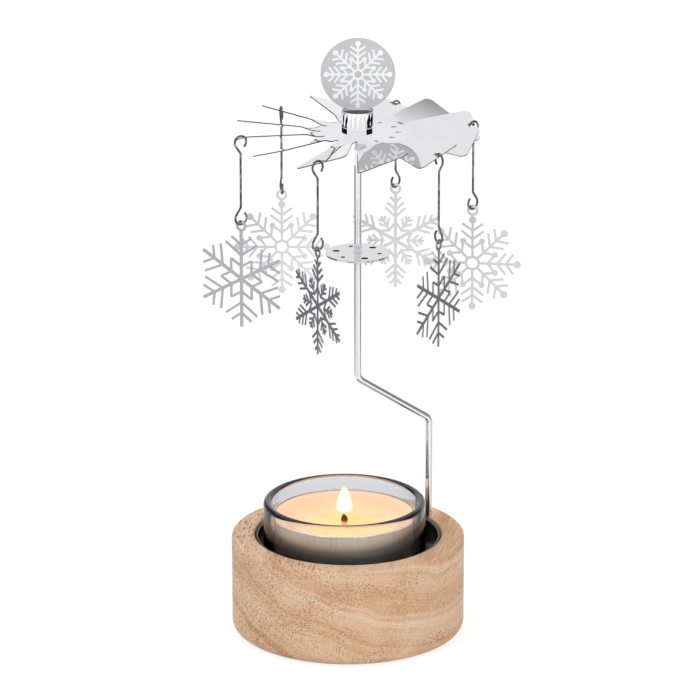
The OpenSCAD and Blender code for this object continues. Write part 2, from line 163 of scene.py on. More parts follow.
# Each pair of barbs: where it leaves its arm, and its tip along the arm and beside it
FLAKE_BARBS = ((4.56, 6.1, 2.1), (6.17, 7.54, 1.93))
FLAKE_BARB_W = 0.54
FLAKE_KNOT = 4.48
FLAKE_KNOT_R = 0.58
FLAKE_STAR = 2.76
FLAKE_STAR_W = 0.5
FLAKE_RING_R = 1.48
FLAKE_RING_HOLE_R = 0.94

# Hooks
WIRE_R = 0.3
LOOP_R = 1.7
HOOK_L = 20.5
HOOK_NECK = 2.95
HOOK_BEND_R = 0.7
LOOP_END = math.radians(50)
# The middle of each hook's upper loop, and the heading of its wire's plane in degrees
HOOK_PLACES = (
    (-27.9088, -6.96493, 136.805, 212), (-17.7123, 23.6465, 136.404, 100),
    (-7.72229, -29.4142, 136.404, 220), (12.7531, 29.5835, 136.475, 50),
    (23.4015, -23.4587, 136.568, 302), (32.9321, 7.19112, 136.891, 44),
)

WHITE = (1.0, 1.0, 1.0, 1.0)


def linear(colour):
    """The linear colour of an sRGB hex value."""
    parts = [int(colour[i:i + 2], 16) / 255 for i in (1, 3, 5)]
    return [p / 12.92 if p <= 0.04045 else ((p + 0.055) / 1.055) ** 2.4 for p in parts] + [1.0]


def feed(made, inputs):
    """Sets a node's inputs, each to a value, to a socket or to another node's first output."""
    for key, value in inputs.items():
        if isinstance(value, bpy.types.Node):
            value = value.outputs[0]
        if isinstance(value, bpy.types.NodeSocket):
            made.id_data.links.new(value, made.inputs[key])
        else:
            made.inputs[key].default_value = value


def node(tree, kind, inputs=(), stops=(), **settings):
    """Adds a node with its settings, its inputs and a colour ramp's stops."""
    made = tree.nodes.new(kind)
    for key, value in settings.items():
        setattr(made, key, value)
    feed(made, dict(inputs))
    for i, (place, colour) in enumerate(stops):
        stop = made.color_ramp.elements[i] if i < 2 else made.color_ramp.elements.new(place)
        stop.position = place
        stop.color = linear(colour)
    return made


def empty_material(name):
    """A material without nodes, and its tree."""
    made = bpy.data.materials.new(name)
    made.use_nodes = True
    made.node_tree.nodes.clear()
    return made, made.node_tree


def new_material(name):
    """A material with its output, its surface shader and Object coordinates."""
    made, tree = empty_material(name)
    surface = node(tree, "ShaderNodeBsdfPrincipled")
    node(tree, "ShaderNodeOutputMaterial", {"Surface": surface})
    where = node(tree, "ShaderNodeTexCoord").outputs["Object"]
    return made, tree, surface, where


def add_object(name, data):
    """A new object in the scene."""
    made = bpy.data.objects.new(name, data)
    bpy.context.scene.collection.objects.link(made)
    return made


# Shapes


def arc(x, z, r, start, end, steps):
    """Points of an arc about (x, z), from angle start to angle end in degrees."""
    turns = [math.radians(start + (end - start) * i / steps) for i in range(steps + 1)]
    return [(x + r * math.cos(t), z + r * math.sin(t)) for t in turns]


def polar(r, degrees):
    """A point at a distance and direction."""
    return (r * math.cos(math.radians(degrees)), r * math.sin(math.radians(degrees)))


def smooth(mesh, sharp):
    """Shades a mesh smooth, apart from edges sharper than an angle in degrees."""
    mesh.shade_smooth()
    mesh.set_sharp_from_angle(angle=math.radians(sharp))


def pairs(loop):
    """Each item of a closed loop with the next."""
    return zip(loop, loop[1:] + loop[:1])


def wall(bm, rings):
    """Joins rings of corners with faces, each ring to the next."""
    for a, b in zip(rings, rings[1:]):
        for (a1, a2), (b1, b2) in zip(pairs(a), pairs(b)):
            bm.faces.new((a1, a2, b2, b1))


def finished(name, bm, materials, sharp=30):
    """A smooth-shaded object from a bmesh in millimetres, with its faces outwards and its sharp edges
    kept."""
    bmesh.ops.remove_doubles(bm, verts=bm.verts, dist=1e-5)
    bmesh.ops.recalc_face_normals(bm, faces=bm.faces)
    bmesh.ops.scale(bm, vec=(MM, MM, MM), verts=bm.verts)
    mesh = bpy.data.meshes.new(name)
    bm.to_mesh(mesh)
    bm.free()
    for material in materials:
        mesh.materials.append(material)
    smooth(mesh, sharp)
    return add_object(name, mesh)


def turned(outline, x=0.0, steps=ROUND):
    """A bmesh of a closed outline of (radius, height) points turned about the upright axis at x."""
    bm = bmesh.new()
    rings = []
    turns = [2 * math.pi * k / steps for k in range(steps)]
    for r, z in outline:
        if r < 1e-6:
            rings.append([bm.verts.new((x, 0, z))])
        else:
            rings.append([bm.verts.new((x + r * math.cos(t), r * math.sin(t), z)) for t in turns])
    for a, b in pairs(rings):
        for k in range(steps):
            corners = [a[k % len(a)], a[(k + 1) % steps % len(a)], b[(k + 1) % steps % len(b)], b[k % len(b)]]
            corners = list(dict.fromkeys(corners))
            if len(corners) > 2:
                bm.faces.new(corners)
    return bm


def swept(path, radius, sides, end_r=0.08):
    """A bmesh of a round bar along a path, with its ends a little rounded. Its radius is a function of the
    distance along it."""
    points = [Vector(p) for p in path]
    along = [0.0]
    for a, b in zip(points, points[1:]):
        along.append(along[-1] + (b - a).length)
    befores = [points[0], *points[:-1]]
    afters = [*points[1:], points[-1]]
    ways = [(after - before).normalized() for before, after in zip(befores, afters)]
    side = ways[0].orthogonal().normalized()
    bm = bmesh.new()
    rings = []
    turns = [2 * math.pi * k / sides for k in range(sides)]

    def ring(centre, way, across, r):
        other = way.cross(across)
        rings.append([bm.verts.new(centre + (across * math.cos(t) + other * math.sin(t)) * r) for t in turns])

    for i, (point, way, far) in enumerate(zip(points, ways, along)):
        side = (side - way * side.dot(way)).normalized()
        r = radius(far)
        if i == 0:
            ring(point, way, side, r - end_r)
            ring(point + way * end_r, way, side, r)
        elif i == len(points) - 1:
            ring(point - way * end_r, way, side, r)
            ring(point, way, side, r - end_r)
        else:
            ring(point, way, side, r)
    wall(bm, rings)
    bm.faces.new(rings[0][::-1])
    bm.faces.new(rings[-1])
    return bm


def sheet(outline, holes):
    """A bmesh of a flat sheet in the XY plane with holes, each a closed list of (x, y) points."""
    bm = bmesh.new()
    edges = []
    for loop in (outline, *holes):
        corners = [bm.verts.new((x, y, 0)) for x, y in loop]
        edges += [bm.edges.new(ends) for ends in pairs(corners)]
    bmesh.ops.triangle_fill(bm, use_beauty=True, edges=edges)
    return bm


def thickened(bm, thickness):
    """Gives a flat or bent sheet its thickness, half of it to each side, with material 1 on its cut edges."""
    bmesh.ops.recalc_face_normals(bm, faces=bm.faces)
    bm.normal_update()
    moves = {v: v.normal * thickness / 2 for v in bm.verts}
    rims = [tuple(e.verts) for e in bm.edges if e.is_boundary]
    below = {v: bm.verts.new(v.co - moves[v]) for v in list(moves)}
    for face in list(bm.faces):
        bm.faces.new([below[v] for v in reversed(face.verts)])
    for v, move in moves.items():
        v.co += move
    for a, b in rims:
        bm.faces.new((a, b, below[b], below[a])).material_index = 1
    return bm


def circle(x, y, r, steps):
    """A closed loop of points round (x, y)."""
    return arc(x, y, r, 0, 360 * (steps - 1) / steps, steps - 1)


def combine(piece, tool, way):
    """Cuts a tool out of a piece or, with way UNION, adds it, and deletes the tool."""
    step = piece.modifiers.new("Combine", "BOOLEAN")
    step.object = tool
    step.operation = way
    step.solver = "EXACT"
    step.use_self = way == "UNION"
    settle(piece)
    bpy.data.objects.remove(tool)


def settle(piece):
    """Turns a piece's modifiers into its plain mesh."""
    graph = bpy.context.evaluated_depsgraph_get()
    mesh = bpy.data.meshes.new_from_object(piece.evaluated_get(graph))
    piece.modifiers.clear()
    piece.data = mesh
    smooth(mesh, 30)


def moved(bm, matrix):
    """The bmesh moved by a matrix."""
    bmesh.ops.transform(bm, matrix=matrix, verts=bm.verts)
    return bm


def ring_tree():
    """Geometry nodes that copy a shape in even steps round the upright axis through a point."""
    tree = bpy.data.node_groups.new("Ring of copies", "GeometryNodeTree")
    for way, name, kind in (
            ("OUTPUT", "Geometry", "Geometry"), ("INPUT", "Geometry", "Geometry"),
            ("INPUT", "Copies", "Int"), ("INPUT", "Centre", "Vector"), ("INPUT", "Material", "Material")):
        tree.interface.new_socket(name, in_out=way, socket_type="NodeSocket" + kind)
    given = node(tree, "NodeGroupInput")
    points = node(tree, "GeometryNodePoints", {"Count": given.outputs["Copies"]})
    index = node(tree, "GeometryNodeInputIndex")
    share = node(tree, "ShaderNodeMath", {0: index, 1: given.outputs["Copies"]}, operation="DIVIDE")
    turn = node(tree, "ShaderNodeMath", {0: share, 1: 2 * math.pi}, operation="MULTIPLY")
    about_z = node(tree, "ShaderNodeCombineXYZ", {"Z": turn})
    copies = node(tree, "GeometryNodeInstanceOnPoints", {
        "Points": points, "Instance": given.outputs["Geometry"], "Rotation": about_z})
    real = node(tree, "GeometryNodeRealizeInstances", {0: copies})
    placed = node(tree, "GeometryNodeTransform", {"Geometry": real, "Translation": given.outputs["Centre"]})
    painted = node(tree, "GeometryNodeSetMaterial", {
        "Geometry": placed, "Material": given.outputs["Material"]})
    node(tree, "NodeGroupOutput", {0: painted})
    return tree


def ringed(piece, tree, copies, centre, material):
    """Copies a piece round the upright axis through centre, in millimetres, and makes the result its
    plain mesh."""
    step = piece.modifiers.new("Ring", "NODES")
    step.node_group = tree
    names = {s.name: s.identifier for s in tree.interface.items_tree if s.in_out == "INPUT"}
    step[names["Copies"]] = copies
    step[names["Centre"]] = [c * MM for c in centre]
    step[names["Material"]] = material
    settle(piece)


def plate(outline, holes, thickness, edge):
    """A bmesh of a flat plate in the XY plane, its middle at height zero, with its edges broken by a
    small bevel."""
    bm = bmesh.new()
    half = thickness / 2
    layers = ((-half, edge), (-half + edge, 0.0), (half - edge, 0.0), (half, edge))
    caps = [[], []]
    for loop, inward in ((outline, 1), *((hole, -1) for hole in holes)):
        rings = []
        for z, inset in layers:
            ring = []
            for i, (x, y) in enumerate(loop):
                before = Vector(loop[i - 1])
                after = Vector(loop[(i + 1) % len(loop)])
                way = (after - before).normalized()
                ring.append(bm.verts.new((x - way.y * inset * inward, y + way.x * inset * inward, z)))
            rings.append(ring)
        wall(bm, rings)
        for cap, ring in zip(caps, (rings[0], rings[-1])):
            cap += [bm.edges.get(ends) for ends in pairs(ring)]
    for cap in caps:
        bmesh.ops.triangle_fill(bm, use_beauty=True, edges=cap)
    return bm


def joined(parts):
    """One bmesh of several."""
    bm = bmesh.new()
    for part in parts:
        mesh = bpy.data.meshes.new("part")
        part.to_mesh(mesh)
        part.free()
        bm.from_mesh(mesh)
        bpy.data.meshes.remove(mesh)
    return bm


# Finishes


def turned_wood():
    """Turned and sanded plane or beech, unvarnished: growth bands that hang in smiles over the front, fine
    dark pores that are dots on the front's end grain and dashes on the top, and a soft satin sheen."""
    made, tree, surface, where = new_material("turned_wood")
    mm = node(tree, "ShaderNodeVectorMath", {0: where, "Scale": 1 / MM}, operation="SCALE")
    grain = node(tree, "ShaderNodeMapping", {"Vector": mm, "Rotation": (0.0, 0.0, math.radians(10))})

    # Growth bands round a heart far above the base and to its right, bent by a slow wander of 9 mm
    band_mm = 12.0
    heart = node(tree, "ShaderNodeMapping", {
        "Vector": grain, "Location": (-48.0, 0.0, -150.0), "Scale": (1.0, 0.04, 1.0)})
    wander = node(tree, "ShaderNodeTexNoise", {"Vector": heart, "Scale": 0.06, "Detail": 2.0})
    far = node(tree, "ShaderNodeVectorMath", {0: heart}, operation="LENGTH").outputs["Value"]
    ring = node(tree, "ShaderNodeMath", {0: wander, 1: 9.0, 2: far}, operation="MULTIPLY_ADD")
    turns = node(tree, "ShaderNodeMath", {0: ring, 1: 2 * math.pi / band_mm}, operation="MULTIPLY")
    bands = node(tree, "ShaderNodeMath", {0: turns}, operation="SINE")

    # Fine streaks of about 1.8 mm follow the bands
    streaks = node(tree, "ShaderNodeTexNoise", {
        "W": ring, "Scale": 0.55, "Detail": 3.0, "Roughness": 0.6}, noise_dimensions="1D")

    # Fibres run along the grain, drawn at 0.4 mm, in clouds of colour 12 mm wide
    fibre_place = node(tree, "ShaderNodeMapping", {"Vector": grain, "Scale": (1.0, 0.04, 1.0)})
    fibres = node(tree, "ShaderNodeTexNoise", {
        "Vector": fibre_place, "Scale": 2.6, "Detail": 3.0, "Roughness": 0.6})
    clouds = node(tree, "ShaderNodeTexNoise", {"Vector": fibre_place, "Scale": 0.08, "Detail": 3.0})

    # Pores, drawn at 0.25 mm across and 0.5 mm apart, crowd to the left and in clouds 8 mm wide
    pore_place = node(tree, "ShaderNodeMapping", {"Vector": grain, "Scale": (1.0, 0.15, 1.0)})
    cells = node(tree, "ShaderNodeTexVoronoi", {
        "Vector": pore_place, "Scale": 1.9}).outputs["Distance"]
    pore_clouds = node(tree, "ShaderNodeTexNoise", {"Vector": fibre_place, "Scale": 0.12, "Detail": 1.0})
    right = node(tree, "ShaderNodeSeparateXYZ", {0: mm}).outputs["X"]
    crowd = node(tree, "ShaderNodeMath", {0: right, 1: -0.007, 2: pore_clouds}, operation="MULTIPLY_ADD")
    reach = node(tree, "ShaderNodeMapRange", {
        "Value": crowd, "From Min": 0.30, "From Max": 0.62, "To Min": 0.10, "To Max": 0.36})
    inside = node(tree, "ShaderNodeMath", {0: reach, 1: cells}, operation="SUBTRACT")
    pores = node(tree, "ShaderNodeMapRange", {
        "Value": inside, "From Min": -0.03, "From Max": 0.10, "To Max": 0.85})

    # Bands, clouds, streaks and fibres add up to one tone, from brown through tan to cream, with a pink
    # blush in patches 20 mm wide
    shade = node(tree, "ShaderNodeMath", {0: bands, 1: 0.09, 2: fibres}, operation="MULTIPLY_ADD")
    mixed = node(tree, "ShaderNodeMath", {0: clouds, 1: 0.5, 2: shade}, operation="MULTIPLY_ADD")
    lined = node(tree, "ShaderNodeMath", {0: streaks, 1: 0.5, 2: mixed}, operation="MULTIPLY_ADD")
    tone = node(tree, "ShaderNodeMath", {0: lined, 1: 2.0}, operation="DIVIDE")
    tan = node(tree, "ShaderNodeValToRGB", {"Fac": tone}, stops=(
        (0.34, "#B48B68"), (0.43, "#CBA17B"), (0.51, "#D9B492"), (0.58, "#DFC2A4"),
        (0.68, "#E3CEB6")))
    blush = node(tree, "ShaderNodeTexNoise", {"Vector": fibre_place, "Scale": 0.05, "Detail": 1.0})
    pink = node(tree, "ShaderNodeMapRange", {
        "Value": blush, "From Min": 0.42, "From Max": 0.64, "To Max": 0.18})
    warm = node(tree, "ShaderNodeMix", {
        0: pink, 6: tan, 7: linear("#CC9C7E")}, data_type="RGBA").outputs[2]
    dotted = node(tree, "ShaderNodeMix", {
        0: pores, 6: warm, 7: linear("#8A6244")}, data_type="RGBA").outputs[2]
    gloss = node(tree, "ShaderNodeMapRange", {"Value": fibres, "To Min": 0.5, "To Max": 0.66})
    depth = node(tree, "ShaderNodeMath", {0: pores, 1: -0.6, 2: fibres}, operation="MULTIPLY_ADD")
    relief = node(tree, "ShaderNodeBump", {"Height": depth, "Distance": 0.05 * MM, "Strength": 0.5})
    feed(surface, {"Base Color": dotted, "Roughness": gloss, "Specular IOR Level": 0.3, "Normal": relief})
    return made


def polished(name, colour, roughness, ripple=0.0, ripple_mm=1.0):
    """A polished metal. Ripple is the height in millimetres of the slow waves that bend what it mirrors,
    and ripple_mm their width."""
    made, tree, surface, where = new_material(name)
    feed(surface, {"Base Color": linear(colour), "Metallic": 1.0, "Roughness": roughness})
    if ripple:
        waves = node(tree, "ShaderNodeTexNoise", {
            "Vector": where, "Scale": 1 / (ripple_mm * MM), "Detail": 1.0, "Roughness": 0.4})
        feed(surface, {"Normal": node(tree, "ShaderNodeBump", {"Height": waves, "Distance": ripple * MM})})
    return made


def drawn_wire():
    """Drawn stainless wire, bent cold: a polished skin that the die left darker and brighter every
    1 to 2 mm."""
    made, tree, surface, where = new_material("bent_stainless_wire")
    marks = node(tree, "ShaderNodeTexNoise", {"Vector": where, "Scale": 650.0, "Detail": 2.0})
    skin = node(tree, "ShaderNodeValToRGB", {"Fac": marks}, stops=(
        (0.36, "#4A4A4E"), (0.52, "#6C6C70"), (0.68, "#9C9CA0")))
    feed(surface, {"Base Color": skin, "Metallic": 1.0, "Roughness": 0.08})
    return made


def clear_glass():
    """Pressed clear soda-lime glass: bright reflections, and dark grey-green where one looks along its
    wall."""
    made, tree, surface, _ = new_material("clear_soda_lime_glass")
    feed(surface, {"Base Color": WHITE, "Roughness": 0.0, "IOR": 1.5, "Transmission Weight": 1.0})
    tint = node(tree, "ShaderNodeVolumeAbsorption", {"Color": linear("#CDCEC0"), "Density": 60.0})
    feed(next(n for n in tree.nodes if n.type == "OUTPUT_MATERIAL"), {"Volume": tint})
    return made


def drawn_aluminium():
    """Deep-drawn tealight foil: a dull silver wall with fine upright streaks from the drawing die."""
    made, tree, surface, where = new_material("drawn_aluminium_foil")
    centred = node(tree, "ShaderNodeMapping", {"Vector": where, "Location": (-CUP_X * MM, 0.0, 0.0)})
    apart = node(tree, "ShaderNodeSeparateXYZ", {0: centred})

    # The wall unrolled in millimetres, its height squeezed so that the streaks stand upright, 0.3 mm wide
    turn = node(tree, "ShaderNodeMath", {0: apart.outputs["Y"], 1: apart.outputs["X"]}, operation="ARCTAN2")
    round_wall = node(tree, "ShaderNodeMath", {0: turn, 1: FOIL_R}, operation="MULTIPLY")
    up = node(tree, "ShaderNodeMath", {0: apart.outputs["Z"], 1: 30.0}, operation="MULTIPLY")
    unrolled = node(tree, "ShaderNodeCombineXYZ", {"X": round_wall, "Z": up})
    streaks = node(tree, "ShaderNodeTexNoise", {
        "Vector": unrolled, "Scale": 3.6, "Detail": 3.0, "Roughness": 0.5})
    silver = node(tree, "ShaderNodeValToRGB", {"Fac": streaks}, stops=(
        (0.30, "#E4E1DB"), (0.52, "#F0EDE8"), (0.72, "#F8F6F3")))
    relief = node(tree, "ShaderNodeBump", {"Height": streaks, "Distance": 0.01 * MM, "Strength": 0.3})
    feed(surface, {"Base Color": silver, "Metallic": 1.0, "Roughness": 0.34, "Normal": relief})
    return made


def wax_with_painted_glow():
    """Paraffin wax lit from inside by its flame: a warm cream that turns yellow in the melted pool and
    pinker towards the wall, wet and mirror-smooth in the pool and satin beyond it. The same colours
    shine as a faint painted glow that stands in for the flame's light inside the wax."""
    made, tree, surface, where = new_material("paraffin_wax_painted_glow")
    centred = node(tree, "ShaderNodeMapping", {
        "Vector": where, "Location": (-CUP_X * MM, 0.0, 0.0), "Scale": (1.0, 1.0, 0.0)})
    out = node(tree, "ShaderNodeVectorMath", {0: centred}, operation="LENGTH").outputs["Value"]
    share = node(tree, "ShaderNodeMath", {0: out, 1: FOIL_R * MM}, operation="DIVIDE")
    cream = node(tree, "ShaderNodeValToRGB", {"Fac": share}, stops=(
        (0.06, "#F8D47E"), (0.45, "#F7D48C"), (0.66, "#F6D2A4"), (0.86, "#F4C4A2"),
        (0.97, "#F4CCAC")))
    wet = node(tree, "ShaderNodeMapRange", {
        "Value": share, "From Min": 0.62, "From Max": 0.72, "To Min": 0.08, "To Max": 0.4})
    # The cream also glows faintly: painted light of the flame inside the wax
    feed(surface, {
        "Base Color": cream, "Emission Color": cream, "Emission Strength": 0.26, "Roughness": wet,
        "IOR": 1.43, "Subsurface Weight": 0.35, "Subsurface Radius": (0.004, 0.0025, 0.001),
        "Subsurface Scale": 0.5})
    return made


def charred_cotton():
    """A braided cotton wick: pale and soaked with wax near the pool, charred red-brown at its curl, with
    a fuzz of loose fibres drawn at 0.3 mm."""
    made, tree, surface, where = new_material("charred_cotton_wick")
    apart = node(tree, "ShaderNodeSeparateXYZ", {0: where})
    rise = node(tree, "ShaderNodeMapRange", {
        "Value": apart.outputs["Z"],
        "From Min": (POOL_Z - 0.2) * MM, "From Max": (POOL_Z + 3.2) * MM})
    burnt = node(tree, "ShaderNodeValToRGB", {"Fac": rise}, stops=(
        (0.0, "#F4DDA0"), (0.40, "#E8C088"), (0.48, "#C07A3C"), (0.60, "#8A4222"),
        (0.76, "#5E2614"), (1.0, "#6A3018")))
    fuzz = node(tree, "ShaderNodeTexNoise", {"Vector": where, "Scale": 3500.0, "Detail": 2.0})
    relief = node(tree, "ShaderNodeBump", {"Height": fuzz, "Distance": 0.1 * MM, "Strength": 0.6})
    feed(surface, {"Base Color": burnt, "Roughness": 0.75, "Normal": relief})
    return made


def glowing(name, colour, strength, cover):
    """A flame's glow: its own light, and see-through but for its cover."""
    made, tree = empty_material(name)
    light = node(tree, "ShaderNodeEmission", {"Color": linear(colour), "Strength": strength})
    clear = node(tree, "ShaderNodeBsdfTransparent")
    both = node(tree, "ShaderNodeMixShader", {0: cover, 1: clear, 2: light})
    node(tree, "ShaderNodeOutputMaterial", {"Surface": both})
    return made


def frosted():
    """Etched steel of the finial's snowflake: a fine matt bite, drawn at 0.17 mm, that scatters white."""
    made, tree, surface, where = new_material("etched_frosted_steel")
    bite = node(tree, "ShaderNodeTexNoise", {"Vector": where, "Scale": 6000.0, "Detail": 1.0})
    relief = node(tree, "ShaderNodeBump", {"Height": bite, "Distance": 0.02 * MM, "Strength": 0.4})
    feed(surface, {"Base Color": linear("#F4F4F4"), "Roughness": 0.6, "Normal": relief})
    return made


wood = turned_wood()
# The dish: pressed and buffed steel, a soft mirror that goes dark inside the recess
dish_steel = polished("polished_dark_steel", "#D2D0CC", 0.16, ripple=0.004, ripple_mm=9.0)
glass = clear_glass()
foil = drawn_aluminium()
paraffin = wax_with_painted_glow()
cotton = charred_cotton()
# The flame, from its white core out to a thin yellow halo
flame_finishes = (
    glowing("flame_white_core", "#FFFDF4", 6.0, 1.0),
    glowing("flame_cream_skin", "#FFF8DC", 1.5, 0.6),
    glowing("flame_yellow_skin", "#FFF0B4", 1.25, 0.35),
    glowing("flame_yellow_halo", "#FFE6A0", 1.1, 0.15),
)
# Chromium plate: a hard mirror that draws white, grey and black lines along the rod
chrome = polished("chromium_plated_rod", "#E8E8EA", 0.03)
# Ground steel: a soft grey shine
needle_steel = polished("ground_needle_steel", "#B5B5B8", 0.16)
# Bright rolled stainless sheet: a mirror whose slow waves bend it a little
sheet_steel = polished("polished_stainless_sheet", "#E3E3E6", 0.03, ripple=0.006, ripple_mm=14.0)
# Its sheared edge: a dull dark line round each blade, partly the rough cut and partly painted shade for the
# dark that the edge mirrors
cut_edge_painted_shade = polished("sheared_edge_painted_dark", "#5E5E60", 0.35)
# Chromium plate of the hub: the brightest mirror, with a dull top painted near-black as the finial's shade
hub_chrome = polished("chromium_plated_hub", "#FAFAFB", 0.03)
painted_shade_top = polished("shaded_hub_top", "#0E0E10", 0.25)
# The collector disc: bright sheet that lies flatter than the blades, with rough hole walls painted near-black
# as shade in the holes
disc_steel = polished("polished_disc_steel", "#D6D6D7", 0.06, ripple=0.002, ripple_mm=12.0)
hole_wall_painted_shade = polished("punched_hole_painted_shade", "#38383A", 0.4)
# The finial's ground: satin steel, one even pale grey, and its etched snowflake
satin_steel = polished("satin_rolled_disc", "#C6C6C8", 0.28)
frost = frosted()
# Turned brass: a warm yellow shine. Stamped tinplate: dull silver
brass = polished("turned_brass", "#C9A24E", 0.25)
tin = polished("stamped_tinplate", "#B9B6AE", 0.3)
wire = drawn_wire()
# Photo-etched stainless charms: fine satin skins of one steel, each painted paler or darker as light and
# shade for how it hangs
charm_lit_and_shaded_finishes = [polished("etched_stainless_lit_shaded_" + name, colour, roughness) for name, colour, roughness in (
    ("mid", "#AEAEB0", 0.12), ("pale", "#EAEAEC", 0.3), ("dark", "#CDCDD0", 0.2),
    ("pale_4", "#DCDCDE", 0.3), ("dark_5", "#CDCDD0", 0.2), ("pale_6", "#D2D2D4", 0.3))]


# Pieces


def carry(piece, body, slot, *nodes):
    """Puts a piece on its body and hides the nodes it stands for. Its slot is not used."""
    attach(piece, body)
    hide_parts(*nodes)


def make_base():
    """Turned base with a round-lipped recess and the bored hole for the rod."""
    lip = RECESS_R + RECESS_LIP_R
    outline = [(0, 0), *arc(BASE_R - FOOT_R, FOOT_R, FOOT_R, -90, 0, 12)]
    outline += arc(BASE_R - TOP_R, BASE_H - TOP_R, TOP_R, 0, 90, 8)
    outline += arc(lip, BASE_H - RECESS_LIP_R, RECESS_LIP_R, 90, 180, 6)
    outline += [(RECESS_R, RECESS_FLOOR), (0, RECESS_FLOOR)]
    base = finished("turned_base", turned(outline), [wood])
    x, y, low = ROD_FOOT
    high = BASE_H + OVER
    drill = finished("drill", turned([(0, low), (ROD_R, low), (ROD_R, high), (0, high)], steps=48), [])
    drill.data.transform(Matrix.Translation((x * MM, y * MM, 0)))
    combine(base, drill, "DIFFERENCE")
    carry(base, "base", "turned_wood", "wood_base")


def make_dish():
    """Pressed dish with a rolled corner and a rounded rim."""
    inner = DISH_R - DISH_T
    inside = DISH_CORNER_R - DISH_T
    corner_z = RECESS_FLOOR + DISH_CORNER_R
    rim_z = DISH_RIM_Z - DISH_T / 2
    outline = [(0, RECESS_FLOOR), *arc(DISH_R - DISH_CORNER_R, corner_z, DISH_CORNER_R, -90, 0, 8)]
    outline += arc(DISH_R - DISH_T / 2, rim_z, DISH_T / 2, 0, 180, 10)
    outline += [*arc(inner - inside, corner_z, inside, 0, -90, 8), (0, RECESS_FLOOR + DISH_T)]
    bm = turned(outline)
    # The rim's top, the sheet's cut edge, takes the dark edge finish and its painted shade
    for face in bm.faces:
        if face.calc_center_median().z > rim_z:
            face.material_index = 1
    dish = finished("pressed_dish", bm, [dish_steel, cut_edge_painted_shade])
    carry(dish, "base", "polished_dish", "dish")


def make_glass():
    """Thick pressed glass cup with a fire-rounded rim and a slightly hollow underside."""
    lip = GLASS_WALL / 2
    top = GLASS_Z + GLASS_H - lip
    inner = GLASS_R - GLASS_WALL
    inside = GLASS_CORNER_R / 2
    outline = [(GLASS_R * share, GLASS_Z + rise) for share, rise in GLASS_HOLLOW]
    outline += arc(GLASS_R - GLASS_CORNER_R, GLASS_Z + GLASS_CORNER_R, GLASS_CORNER_R, -90, 0, 12)
    outline += arc(GLASS_R - lip, top, lip, 0, 180, 18)
    outline += arc(inner - inside, GLASS_Z + GLASS_FLOOR + inside, inside, 0, -90, 8)
    outline += [(0, GLASS_Z + GLASS_FLOOR)]
    cup = finished("pressed_glass_cup", turned(outline, CUP_X), [glass])
    carry(cup, "glass", "clear_glass", "glass_cup")


def make_candle():
    """Foil cup with a beaded rim, wax sunk to a pool, and a braided wick with a thicker charred end."""
    low = FOIL_Z + FOIL_GAP
    bead_z = FOIL_Z + FOIL_H - FOIL_BEAD_R
    inner = FOIL_R - FOIL_T
    inside = FOIL_CORNER_R - FOIL_T
    outline = [(0, low), *arc(FOIL_R - FOIL_CORNER_R, low + FOIL_CORNER_R, FOIL_CORNER_R, -90, 0, 8)]
    outline += arc(FOIL_R - FOIL_T / 2, bead_z, FOIL_BEAD_R, -65, 245, 14)
    outline += arc(inner - inside, low + FOIL_CORNER_R, inside, 0, -90, 6)
    outline += [(0, low + FOIL_T)]
    cup = finished("drawn_foil_cup", turned(outline, CUP_X), [foil])
    carry(cup, "candle", "tealight_foil", "tealight_cup")

    wax_r = inner - WAX_GAP
    outline = [(0, low + FOIL_T), (inner - inside, low + FOIL_T), (wax_r, low + FOIL_CORNER_R)]
    for t in (i / 16 for i in range(17)):
        sunk = (POOL_Z - WAX_TOP_Z) * t * t * (3 - 2 * t)
        outline.append((wax_r + (POOL_R - wax_r) * t, WAX_TOP_Z + sunk))
    outline += [(WICK_R + out, POOL_Z + up) for out, up in WAX_CREEP]
    outline += [(0, POOL_Z + WAX_CREEP_TOP)]
    wax = finished("sunk_wax", turned(outline, CUP_X), [paraffin], sharp=50)
    wax.visible_glossy = False
    carry(wax, "candle", "paraffin_wax", "wax")

    stem_top = POOL_Z + WICK_RISE
    stem = [(CUP_X, 0, WICK_FOOT_Z + (stem_top - WICK_FOOT_Z) * i / 20) for i in range(20)]
    bow = arc(CUP_X - WICK_CURL_R, stem_top, WICK_CURL_R, 0, math.degrees(WICK_CURL), 14)
    path = stem + [(x, 0, z) for x, z in bow]
    char_start = stem_top - WICK_FOOT_Z - CHAR_LENGTH

    def wick_radius(s):
        return WICK_R + CHAR_SWELL * max(0.0, min(1.0, (s - char_start) / CHAR_LENGTH))

    wick = finished("braided_wick", swept(path, wick_radius, sides=24, end_r=0.35), [cotton])
    carry(wick, "candle", "wick_cotton", "wick")


def make_flame():
    """The flame, a drop with a round foot and a long tip, in nested shells."""
    for i, (finish, (out, up)) in enumerate(zip(flame_finishes, FLAME_SHELLS), 1):
        low = FLAME_LOW_Z - out
        high = FLAME_TIP_Z + up
        outline = [(0, low)]
        for t in (k / 32 for k in range(1, 32)):
            foot = min(t / FLAME_FOOT, 1.0)
            taper = max((t - FLAME_FOOT) / (1 - FLAME_FOOT), 0.0)
            wide = math.sqrt(foot * (2 - foot)) * (1 - taper ** 1.8) ** 0.75
            outline.append(((FLAME_R + out) * wide, low + (high - low) * t))
        outline.append((0, high))
        fire = finished(f"flame_{i}", turned(outline, CUP_X, steps=64), [finish], sharp=60)
        fire.visible_glossy = False
        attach(fire, "candle")


